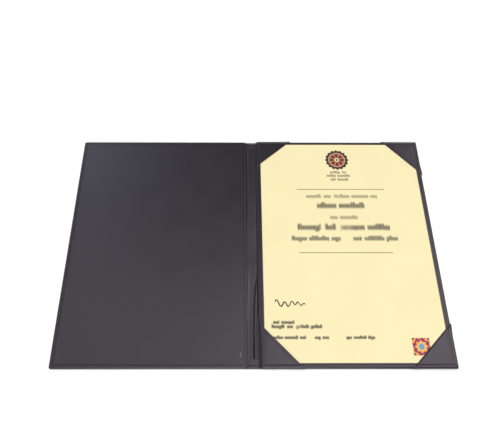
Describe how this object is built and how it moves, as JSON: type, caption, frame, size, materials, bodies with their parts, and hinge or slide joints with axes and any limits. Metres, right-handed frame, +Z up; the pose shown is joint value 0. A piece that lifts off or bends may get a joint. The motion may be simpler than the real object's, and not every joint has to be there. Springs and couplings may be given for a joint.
{
  "type": "certificate holder",
  "caption": "Stitched leatherette certificate holder that folds shut at a soft spine, with corner pockets that hold a sheet against one of its stiff covers.",
  "frame": {"origin": "middle of the spine, on the surface that the open holder lies on", "axes": "+X across the covers towards the pocketed one, +Y along the spine from tail to head, +Z up out of the inner faces"},
  "size_m": [0.46, 0.308, 0.0059],
  "materials": {
    "leatherette": "satin",
    "greyboard": "matte",
    "thread": "matte",
    "paper": "matte",
    "foil": "gloss"
  },
  "bodies": {
    "back_leaf": {"back_cover_skin": "leatherette", "back_board": "greyboard", "back_hinge_strip": "leatherette", "back_lining": "leatherette", "back_bobbin_thread": "thread", "back_needle_thread": "thread", "pocket_top_left": "leatherette", "pocket_top_right": "leatherette", "pocket_bottom_right": "leatherette", "pocket_bottom_left": "leatherette", "hem_thread_top_left": "thread", "hem_thread_top_right": "thread", "hem_thread_bottom_right": "thread", "hem_thread_bottom_left": "thread"},
    "spine": {"spine_skin": "leatherette", "spine_lining": "leatherette", "spine_head_needle_thread": "thread", "spine_tail_needle_thread": "thread", "spine_head_bobbin_thread": "thread", "spine_tail_bobbin_thread": "thread"},
    "front_leaf": {"front_cover_skin": "leatherette", "front_board": "greyboard", "front_hinge_strip": "leatherette", "front_lining": "leatherette", "front_bobbin_thread": "thread", "front_needle_thread": "thread"},
    "certificate": {"certificate_sheet": "paper", "foil_seal": "foil"}
  },
  "joints": [
    {"name": "back_fold", "type": "hinge", "parent": "back_leaf", "child": "spine", "pos_m": [0.004, 0, 0.0019], "axis": [0, 1, 0], "range_deg": [0, 90]},
    {"name": "front_fold", "type": "hinge", "parent": "spine", "child": "front_leaf", "pos_m": [-0.004, 0, 0.0019], "axis": [0, 1, 0], "range_deg": [0, 90.3]},
    {"name": "sheet_slide", "type": "slide", "parent": "back_leaf", "child": "certificate", "axis": [1, 0, 0], "range_m": [-0.0004, 0.0024]}
  ]
}
